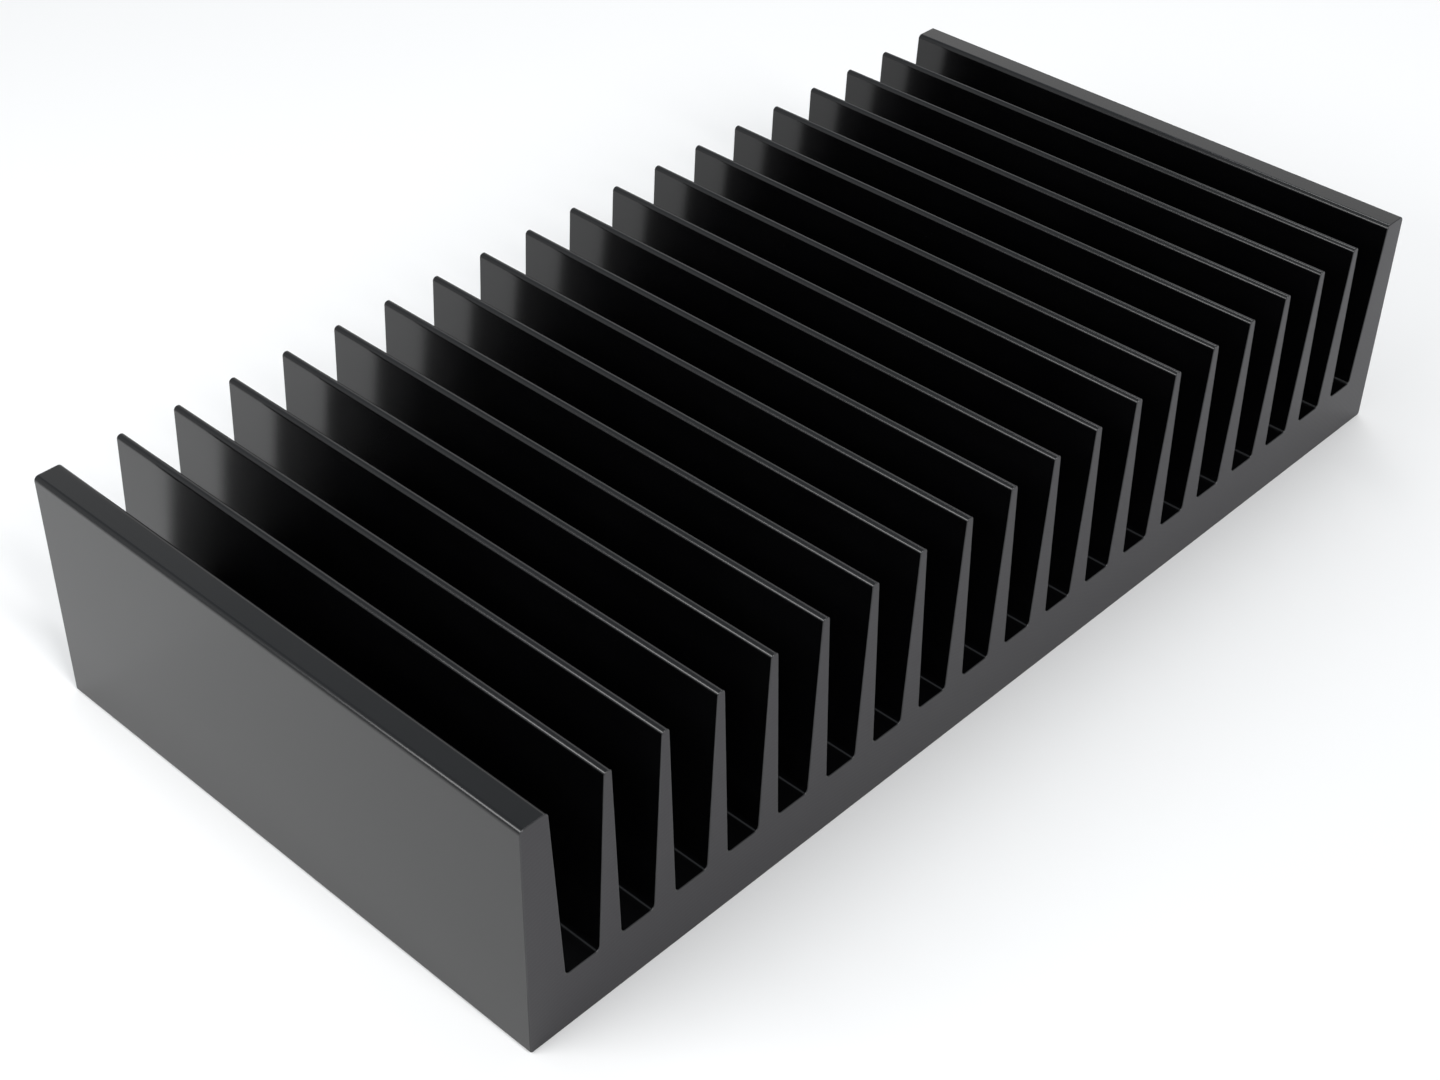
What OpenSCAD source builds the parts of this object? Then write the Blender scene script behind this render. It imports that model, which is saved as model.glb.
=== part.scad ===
// Extruded heat sink: a thick flat base with a comb of tapered fins between two sturdy end walls.
// It is one length of black anodised aluminium profile, sawn square at both ends.
// X runs across the fins, Y along the extrusion, and Z rises from the flat mounting face to the tips.

/* [Body] */
// Width across the fins, over the outer faces of the end walls
body_w = 200; // [160:1:260]
// Length of the sawn piece, along the fins
body_len = 100; // [20:1:300]
// Height from the mounting face to the tips
body_h = 40; // [20:0.5:80]
// Thickness of the base, from the mounting face to the groove floors
base_t = 9.7; // [4:0.1:16]
// Rounding of the two long bottom edges
base_edge_r = 0.5; // [0.2:0.1:4]

/* [Fins] */
// Number of thin fins, evenly spaced between the end walls
fin_count = 18; // [6:1:24]
// Thickness of a fin at its tip
fin_tip_t = 1.3; // [0.8:0.1:2.6]
// Thickness of a fin at the groove floor
fin_root_t = 4; // [2.8:0.1:5.6]
// Rounding of the two long edges of a fin's tip
fin_tip_r = 0.65; // [0.1:0.05:0.7]
// Fillet where a flank meets the groove floor
floor_fillet_r = 0.8; // [0.2:0.1:2.4]

/* [End walls] */
// Thickness of an end wall at its top
wall_top_t = 4.7; // [2:0.1:6.4]
// Thickness of an end wall at the groove floor
wall_root_t = 6.6; // [4.8:0.1:12]
// Rounding of an end wall's outer top edge
wall_outer_r = 0.8; // [0.2:0.1:2.2]
// Rounding of an end wall's inner top edge
wall_inner_r = 0.8; // [0.1:0.1:2.2]

/* [Hidden] */
$fn = 48;

// Black anodised aluminium
anodised_black = [0.10, 0.10, 0.11];

// Height of the fins above the groove floors
fin_h = body_h - base_t;
// Every groove is equally wide at its floor, between two fins and beside an end wall
groove_w = (body_w - 2 * wall_root_t - fin_count * fin_root_t) / (fin_count + 1);
fin_pitch = fin_root_t + groove_w;
first_fin_x = -(fin_count - 1) / 2 * fin_pitch;
// How far the flanks lean from the vertical, in degrees
fin_lean = atan((fin_root_t - fin_tip_t) / 2 / fin_h);
wall_lean = atan((wall_root_t - wall_top_t) / fin_h);
// A fin's foot reaches this far below the groove floors, inside the base
foot_depth = base_t / 2;

// Each rounding is limited by the metal or the groove that it lies in
tip_r = min(fin_tip_r, fin_tip_t / 2);
floor_r = min(floor_fillet_r, groove_w / 2);
outer_r = min(wall_outer_r, wall_top_t / 2);
inner_r = min(wall_inner_r, wall_top_t / 2);
bottom_r = min(base_edge_r, base_t / 2);

// Unit step in the direction of an angle
function toward(angle) = [cos(angle), sin(angle)];

// The area between a corner and the arc of radius r that touches both of its edges, which leave the
// corner at angles a1 and a2. Cut from a corner of metal it rounds it, added to an open one it fillets it.
// It runs past the corner by r, so that it always bites.
module corner_web(corner, a1, a2, r) {
    half = (a2 - a1) / 2;
    middle = toward((a1 + a2) / 2);
    centre = corner + r / sin(half) * middle;
    reach = r / tan(half);
    difference() {
        polygon([corner - r * middle, corner + reach * toward(a1), centre, corner + reach * toward(a2)]);
        translate(centre) circle(r);
    }
}

// Draws its children on both sides of the profile's middle line
module both_sides() {
    for (side = [0, 1]) {
        mirror([side, 0]) children();
    }
}

// Section of the base and the two end walls, a wide shallow channel
module channel_section() {
    half_w = body_w / 2;
    top_x = half_w - wall_top_t;
    floor_x = half_w - wall_root_t;
    difference() {
        polygon([
            [-half_w, 0], [half_w, 0], [half_w, body_h], [top_x, body_h],
            [floor_x, base_t], [-floor_x, base_t], [-top_x, body_h], [-half_w, body_h]
        ]);
        both_sides() {
            corner_web([half_w, 0], 90, 180, bottom_r);
            corner_web([half_w, body_h], 180, 270, outer_r);
            corner_web([top_x, body_h], 270 - wall_lean, 360, inner_r);
        }
    }
    both_sides() corner_web([floor_x, base_t], 90 - wall_lean, 180, floor_r);
}

// Section of one fin: a tapered blade with a rounded tip and a fillet along each side of its foot
module fin_section() {
    difference() {
        polygon([
            [-fin_root_t / 2, base_t - foot_depth], [fin_root_t / 2, base_t - foot_depth],
            [fin_root_t / 2, base_t], [fin_tip_t / 2, body_h],
            [-fin_tip_t / 2, body_h], [-fin_root_t / 2, base_t]
        ]);
        both_sides() corner_web([fin_tip_t / 2, body_h], 180, 270 + fin_lean, tip_r);
    }
    both_sides() corner_web([fin_root_t / 2, base_t], 0, 90 + fin_lean, floor_r);
}

// The whole profile, extruded along Y and sawn square
module heat_sink() {
    color(anodised_black)
        rotate([90, 0, 0])
            linear_extrude(height = body_len, center = true) {
                channel_section();
                for (i = [0 : fin_count - 1]) {
                    translate([first_fin_x + i * fin_pitch, 0]) fin_section();
                }
            }
}

heat_sink();
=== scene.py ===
import math

import bmesh
import bpy
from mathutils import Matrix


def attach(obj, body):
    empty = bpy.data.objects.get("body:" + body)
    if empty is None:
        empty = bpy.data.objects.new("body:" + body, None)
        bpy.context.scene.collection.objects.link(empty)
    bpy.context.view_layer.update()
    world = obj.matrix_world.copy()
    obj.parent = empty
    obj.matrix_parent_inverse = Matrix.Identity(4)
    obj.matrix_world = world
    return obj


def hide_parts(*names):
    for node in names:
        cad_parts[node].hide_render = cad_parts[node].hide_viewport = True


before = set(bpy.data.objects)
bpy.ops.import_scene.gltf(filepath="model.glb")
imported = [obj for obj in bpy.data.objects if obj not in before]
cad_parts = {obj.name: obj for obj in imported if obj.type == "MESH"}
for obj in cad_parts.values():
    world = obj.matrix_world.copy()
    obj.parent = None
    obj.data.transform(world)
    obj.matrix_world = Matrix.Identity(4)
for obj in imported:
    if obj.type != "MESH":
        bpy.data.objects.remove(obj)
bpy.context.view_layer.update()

merge_distance = 0.000002
flat_angle = math.radians(0.5)
square_on = 0.999
file_cut = 0.00015
file_cut_steps = 3
round_cut = 0.5
smooth_angle = math.radians(50)
drawn_slot = 0
filed_slot = 1
sawn_slot = 2

bpy.ops.object.select_all(action="DESELECT")
body = bpy.data.objects.new("finned_body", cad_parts["heat_sink"].data.copy())
bpy.context.collection.objects.link(body)
body.select_set(True)
bpy.context.view_layer.objects.active = body

# The bevel can only use a slot that is there, so each finish has an empty one from the start
body.data.materials.clear()
for slot in (drawn_slot, filed_slot, sawn_slot):
    body.data.materials.append(None)


def is_sawn(face):
    """A face of either end, square to the length of the profile."""
    return abs(face.normal.y) > square_on


def pick_faces(piece, wanted):
    """Selects the faces of the piece in edit mode that are wanted, and nothing else."""
    bpy.ops.mesh.select_all(action="DESELECT")
    mesh = bmesh.from_edit_mesh(piece.data)
    for face in mesh.faces:
        face.select_set(wanted(face))
    mesh.select_flush_mode()
    bmesh.update_edit_mesh(piece.data)


# The copy is loose triangles, so it is merged and its flat faces are made whole
bpy.ops.object.mode_set(mode="EDIT")
bpy.ops.mesh.select_mode(type="FACE")
bpy.ops.mesh.select_all(action="SELECT")
bpy.ops.mesh.remove_doubles(threshold=merge_distance)
bpy.ops.mesh.dissolve_limited(angle_limit=flat_angle)
bpy.ops.object.mode_set(mode="OBJECT")
bpy.ops.object.mode_set(mode="EDIT")

# The file takes the sharpness off both sawn outlines
pick_faces(body, is_sawn)
bpy.ops.mesh.region_to_loop()
bpy.ops.mesh.bevel(
    offset=file_cut, segments=file_cut_steps, profile=round_cut, affect="EDGES", material=filed_slot
)
bpy.ops.object.mode_set(mode="OBJECT")


# Fine pits that the etch leaves, and the broad cloudiness of the dyed skin over them
one_metre = 1.0
pit_size = 0.0006
pit_detail = 2.0
cloud_size = 0.022
cloud_detail = 4.0

etched_skin = bpy.data.node_groups.new("etched_skin", "ShaderNodeTree")
etched_skin.interface.new_socket("Vector", in_out="INPUT", socket_type="NodeSocketVector")
etched_skin.interface.new_socket("Pit Size", in_out="INPUT", socket_type="NodeSocketFloat")
etched_skin.interface.new_socket("Cloud Size", in_out="INPUT", socket_type="NodeSocketFloat")
etched_skin.interface.new_socket("Pits", in_out="OUTPUT", socket_type="NodeSocketFloat")
etched_skin.interface.new_socket("Clouds", in_out="OUTPUT", socket_type="NodeSocketFloat")
nodes, links = etched_skin.nodes, etched_skin.links
skin_in = nodes.new("NodeGroupInput")
skin_out = nodes.new("NodeGroupOutput")
for size, result, detail in (("Pit Size", "Pits", pit_detail), ("Cloud Size", "Clouds", cloud_detail)):
    per_metre = nodes.new("ShaderNodeMath")
    per_metre.operation = "DIVIDE"
    per_metre.inputs[0].default_value = one_metre
    noise = nodes.new("ShaderNodeTexNoise")
    noise.inputs["Detail"].default_value = detail
    links.new(skin_in.outputs[size], per_metre.inputs[1])
    links.new(skin_in.outputs["Vector"], noise.inputs["Vector"])
    links.new(per_metre.outputs[0], noise.inputs["Scale"])
    links.new(noise.outputs["Fac"], skin_out.inputs[result])

oxide_ior = 1.5
cloud_low = 0.3
cloud_high = 0.7
satin_spread = 0.02
pit_depth = 0.000002


def anodised(name, dark, light, satin, line_depth):
    """Black anodised aluminium, and the socket that takes the height of its tool lines."""
    material = bpy.data.materials.new(name)
    material.use_nodes = True
    nodes, links = material.node_tree.nodes, material.node_tree.links
    shader = nodes["Principled BSDF"]
    shader.inputs["IOR"].default_value = oxide_ior
    place = nodes.new("ShaderNodeTexCoord")
    skin = nodes.new("ShaderNodeGroup")
    skin.node_tree = etched_skin
    skin.inputs["Pit Size"].default_value = pit_size
    skin.inputs["Cloud Size"].default_value = cloud_size
    links.new(place.outputs["Object"], skin.inputs["Vector"])

    patchy = nodes.new("ShaderNodeMapRange")
    patchy.inputs["From Min"].default_value = cloud_low
    patchy.inputs["From Max"].default_value = cloud_high
    links.new(skin.outputs["Clouds"], patchy.inputs["Value"])
    colour = nodes.new("ShaderNodeMix")
    colour.data_type = "RGBA"
    colour.inputs["A"].default_value = dark
    colour.inputs["B"].default_value = light
    links.new(patchy.outputs["Result"], colour.inputs["Factor"])
    links.new(colour.outputs["Result"], shader.inputs["Base Color"])

    gloss = nodes.new("ShaderNodeMapRange")
    gloss.inputs["From Min"].default_value = cloud_low
    gloss.inputs["From Max"].default_value = cloud_high
    gloss.inputs["To Min"].default_value = satin - satin_spread
    gloss.inputs["To Max"].default_value = satin + satin_spread
    links.new(skin.outputs["Clouds"], gloss.inputs["Value"])
    links.new(gloss.outputs["Result"], shader.inputs["Roughness"])

    tool_lines = nodes.new("ShaderNodeBump")
    tool_lines.inputs["Distance"].default_value = line_depth
    pits = nodes.new("ShaderNodeBump")
    pits.inputs["Distance"].default_value = pit_depth
    links.new(skin.outputs["Pits"], pits.inputs["Height"])
    links.new(tool_lines.outputs["Normal"], pits.inputs["Normal"])
    links.new(pits.outputs["Normal"], shader.inputs["Normal"])
    return material, tool_lines.inputs["Height"]


# The stretch alone sets the scale of the tool lines
unscaled = 1.0


def streaks(material, height, fineness):
    """Random tool lines, drawn out along the axes in which the fineness is low."""
    nodes, links = material.node_tree.nodes, material.node_tree.links
    stretch = nodes.new("ShaderNodeMapping")
    stretch.inputs["Scale"].default_value = fineness
    lines = nodes.new("ShaderNodeTexNoise")
    lines.inputs["Scale"].default_value = unscaled
    links.new(nodes["Texture Coordinate"].outputs["Object"], stretch.inputs["Vector"])
    links.new(stretch.outputs["Vector"], lines.inputs["Vector"])
    links.new(lines.outputs["Fac"], height)


# Faces as the die draws them, with faint lines along the profile
drawn_dark = (0.0010, 0.0010, 0.0012, 1.0)
drawn_light = (0.0018, 0.0018, 0.0021, 1.0)
drawn_satin = 0.20
drawn_line_depth = 0.000004
drawn_fineness = (1400, 9, 1400)
drawn_face, drawn_lines = anodised("drawn_face", drawn_dark, drawn_light, drawn_satin, drawn_line_depth)
streaks(drawn_face, drawn_lines, drawn_fineness)
body.data.materials[drawn_slot] = drawn_face

# Broken edges, painted paler: partly dye that handling has rubbed thin, partly a painted highlight for
# the light that the edges catch
edge_wear_and_highlight_dark = (0.004, 0.004, 0.0045, 1.0)
edge_wear_and_highlight_light = (0.030, 0.030, 0.032, 1.0)
filed_satin = 0.30
filed_line_depth = 0.000003
filed_fineness = (900, 900, 900)
filed_edge, filed_lines = anodised("filed_edge", edge_wear_and_highlight_dark, edge_wear_and_highlight_light, filed_satin, filed_line_depth)
streaks(filed_edge, filed_lines, filed_fineness)
body.data.materials[filed_slot] = filed_edge

# Sawn ends, where the dye is a touch violet, with the wide faint arcs of a round saw blade that came
# up from under the base. The wave texture turns by wave_radians over one unit of its scaled distance.
sawn_dark = (0.0022, 0.0012, 0.0036, 1.0)
sawn_light = (0.0036, 0.0022, 0.0054, 1.0)
sawn_satin = 0.36
sawn_line_depth = 0.000003
saw_centre = (-0.06, 0.0, -0.16)
tooth_step = 0.0007
wave_radians = 20.0
saw_wander = 2.5
saw_wander_scale = 0.4
sawn_end, sawn_lines = anodised("sawn_end", sawn_dark, sawn_light, sawn_satin, sawn_line_depth)
nodes, links = sawn_end.node_tree.nodes, sawn_end.node_tree.links
from_centre = nodes.new("ShaderNodeVectorMath")
from_centre.operation = "SUBTRACT"
from_centre.inputs[1].default_value = saw_centre
arcs = nodes.new("ShaderNodeTexWave")
arcs.wave_type = "RINGS"
arcs.rings_direction = "Y"
arcs.inputs["Scale"].default_value = 2 * math.pi / (wave_radians * tooth_step)
arcs.inputs["Distortion"].default_value = saw_wander
arcs.inputs["Detail Scale"].default_value = saw_wander_scale
links.new(nodes["Texture Coordinate"].outputs["Object"], from_centre.inputs[0])
links.new(from_centre.outputs["Vector"], arcs.inputs["Vector"])
links.new(arcs.outputs["Fac"], sawn_lines)
body.data.materials[sawn_slot] = sawn_end
for face in body.data.polygons:
    if is_sawn(face):
        face.material_index = sawn_slot

bpy.ops.object.shade_smooth_by_angle(angle=smooth_angle)
flats = body.modifiers.new("flats", "WEIGHTED_NORMAL")
flats.keep_sharp = True
bpy.ops.object.modifier_apply(modifier=flats.name)

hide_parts("heat_sink")
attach(body, "root")

# Floor: a wide sheet of plain white studio board that the heat sink stands on. The board shows a
# little whiter to the camera and in the satin faces, and the soft shadow stays on it.
floor_size = 40.0
board_gap = 0.00005
board_glow = 0.05
board_white = (0.85, 0.85, 0.85, 1.0)

bpy.ops.object.select_all(action="DESELECT")
bpy.ops.mesh.primitive_plane_add(size=floor_size, location=(0, 0, -board_gap))
floor = bpy.context.object
floor.name = "studio_floor"
board = bpy.data.materials.new("studio_board")
board.use_nodes = True
nodes, links = board.node_tree.nodes, board.node_tree.links
nodes.clear()
matt = nodes.new("ShaderNodeBsdfDiffuse")
matt.inputs["Color"].default_value = board_white
glow = nodes.new("ShaderNodeEmission")
ray = nodes.new("ShaderNodeLightPath")
seen = nodes.new("ShaderNodeMath")
seen.operation = "MAXIMUM"
links.new(ray.outputs["Is Camera Ray"], seen.inputs[0])
links.new(ray.outputs["Is Glossy Ray"], seen.inputs[1])
seen_through = nodes.new("ShaderNodeMath")
seen_through.operation = "MAXIMUM"
links.new(seen.outputs[0], seen_through.inputs[0])
links.new(ray.outputs["Is Transmission Ray"], seen_through.inputs[1])
strength = nodes.new("ShaderNodeMath")
strength.operation = "MULTIPLY"
strength.inputs[1].default_value = board_glow
links.new(seen_through.outputs[0], strength.inputs[0])
links.new(strength.outputs[0], glow.inputs["Strength"])
both = nodes.new("ShaderNodeAddShader")
links.new(matt.outputs[0], both.inputs[0])
links.new(glow.outputs[0], both.inputs[1])
surface = nodes.new("ShaderNodeOutputMaterial")
links.new(both.outputs[0], surface.inputs["Surface"])
floor.data.materials.append(board)

# Studio light: a room with a bright band of wall above a darker one, a dim cool ceiling, an even
# left side and a dimmer half in front. Two small soft lamps hang close by, at the left and above
# the right end, and a large one stands far in front.
from mathutils import Quaternion, Vector

room_strength = 1.07
room_levels = (
    (0.25, (0.26, 0.26, 0.26, 1.0)),
    (0.33, (1.0, 1.0, 1.0, 1.0)),
    (0.44, (1.0, 1.0, 1.0, 1.0)),
    (0.69, (0.40, 0.43, 0.46, 1.0)),
)
straight_up = 1.0
left_colour = (0.67, 0.69, 0.71, 1.0)
left_start = 0.05
left_full = -0.40
front_level = 0.4
front_blend = 0.15

scene = bpy.context.scene
studio = bpy.data.worlds.new("studio")
studio.use_nodes = True
scene.world = studio
nodes, links = studio.node_tree.nodes, studio.node_tree.links
background = nodes["Background"]
background.inputs["Strength"].default_value = room_strength
direction = nodes.new("ShaderNodeTexCoord")
heading = nodes.new("ShaderNodeSeparateXYZ")
links.new(direction.outputs["Generated"], heading.inputs["Vector"])
room = nodes.new("ShaderNodeValToRGB")
room.color_ramp.interpolation = "EASE"
while len(room.color_ramp.elements) < len(room_levels):
    room.color_ramp.elements.new(straight_up)
for stop, (rise, level) in zip(room.color_ramp.elements, room_levels):
    stop.position = rise
    stop.color = level
links.new(heading.outputs["Z"], room.inputs["Fac"])
side = nodes.new("ShaderNodeMapRange")
side.interpolation_type = "SMOOTHSTEP"
side.inputs["From Min"].default_value = left_full
side.inputs["From Max"].default_value = left_start
links.new(heading.outputs["X"], side.inputs["Value"])
walls = nodes.new("ShaderNodeMix")
walls.data_type = "RGBA"
walls.inputs["A"].default_value = left_colour
links.new(side.outputs["Result"], walls.inputs["Factor"])
links.new(room.outputs["Color"], walls.inputs["B"])
front = nodes.new("ShaderNodeMapRange")
front.interpolation_type = "SMOOTHSTEP"
front.inputs["From Min"].default_value = -front_blend
front.inputs["From Max"].default_value = front_blend
front.inputs["To Min"].default_value = front_level
links.new(heading.outputs["Y"], front.inputs["Value"])
dimmed = nodes.new("ShaderNodeVectorMath")
dimmed.operation = "SCALE"
links.new(walls.outputs["Result"], dimmed.inputs[0])
links.new(front.outputs["Result"], dimmed.inputs["Scale"])
links.new(dimmed.outputs["Vector"], background.inputs["Color"])


def soft_lamp(name, place, size, power):
    """A rectangular lamp that faces the heat sink and is out of the picture."""
    lamp_data = bpy.data.lights.new(name, "AREA")
    lamp_data.shape = "RECTANGLE"
    lamp_data.size, lamp_data.size_y = size
    lamp_data.energy = power
    lamp = bpy.data.objects.new(name, lamp_data)
    bpy.context.collection.objects.link(lamp)
    lamp.location = place
    lamp.rotation_mode = "QUATERNION"
    lamp.rotation_quaternion = (-Vector(place)).to_track_quat("-Z", "Y")
    lamp.visible_camera = False


left_lamp_place = (-0.29, 0.045, 0.22)
left_lamp_size = (0.22, 0.10)
left_lamp_power = 0.47
soft_lamp("left_lamp", left_lamp_place, left_lamp_size, left_lamp_power)

right_lamp_place = (0.24, 0.05, 0.40)
right_lamp_size = (0.20, 0.10)
right_lamp_power = 0.32
soft_lamp("right_lamp", right_lamp_place, right_lamp_size, right_lamp_power)

front_lamp_place = (-0.70, -4.85, 3.45)
front_lamp_size = (2.4, 2.4)
front_lamp_power = 293.0
soft_lamp("front_lamp", front_lamp_place, front_lamp_size, front_lamp_power)

# Camera: a normal lens close to the heat sink, above its near left corner, very slightly tilted.
# The photograph is a little off the middle of its lens, and the shift follows that.
eye = Vector((-0.22780, -0.19789, 0.23624))
aim = Vector((-0.02984, -0.01011, 0.02000))
camera_tilt = math.radians(0.595)
view_axis = Vector((0, 0, 1))
sensor_width = 36.0
lens_length = 58.472
frame_shift = (0.0229, 0.0090)
nearest_seen = 0.01
camera_data = bpy.data.cameras.new("camera")
camera_data.sensor_width = sensor_width
camera_data.lens = lens_length
camera_data.shift_x, camera_data.shift_y = frame_shift
camera_data.clip_start = nearest_seen
camera = bpy.data.objects.new("camera", camera_data)
bpy.context.collection.objects.link(camera)
camera.location = eye
camera.rotation_mode = "QUATERNION"
camera.rotation_quaternion = (aim - eye).to_track_quat("-Z", "Y") @ Quaternion(view_axis, camera_tilt)
scene.camera = camera
scene.view_settings.view_transform = "Standard"
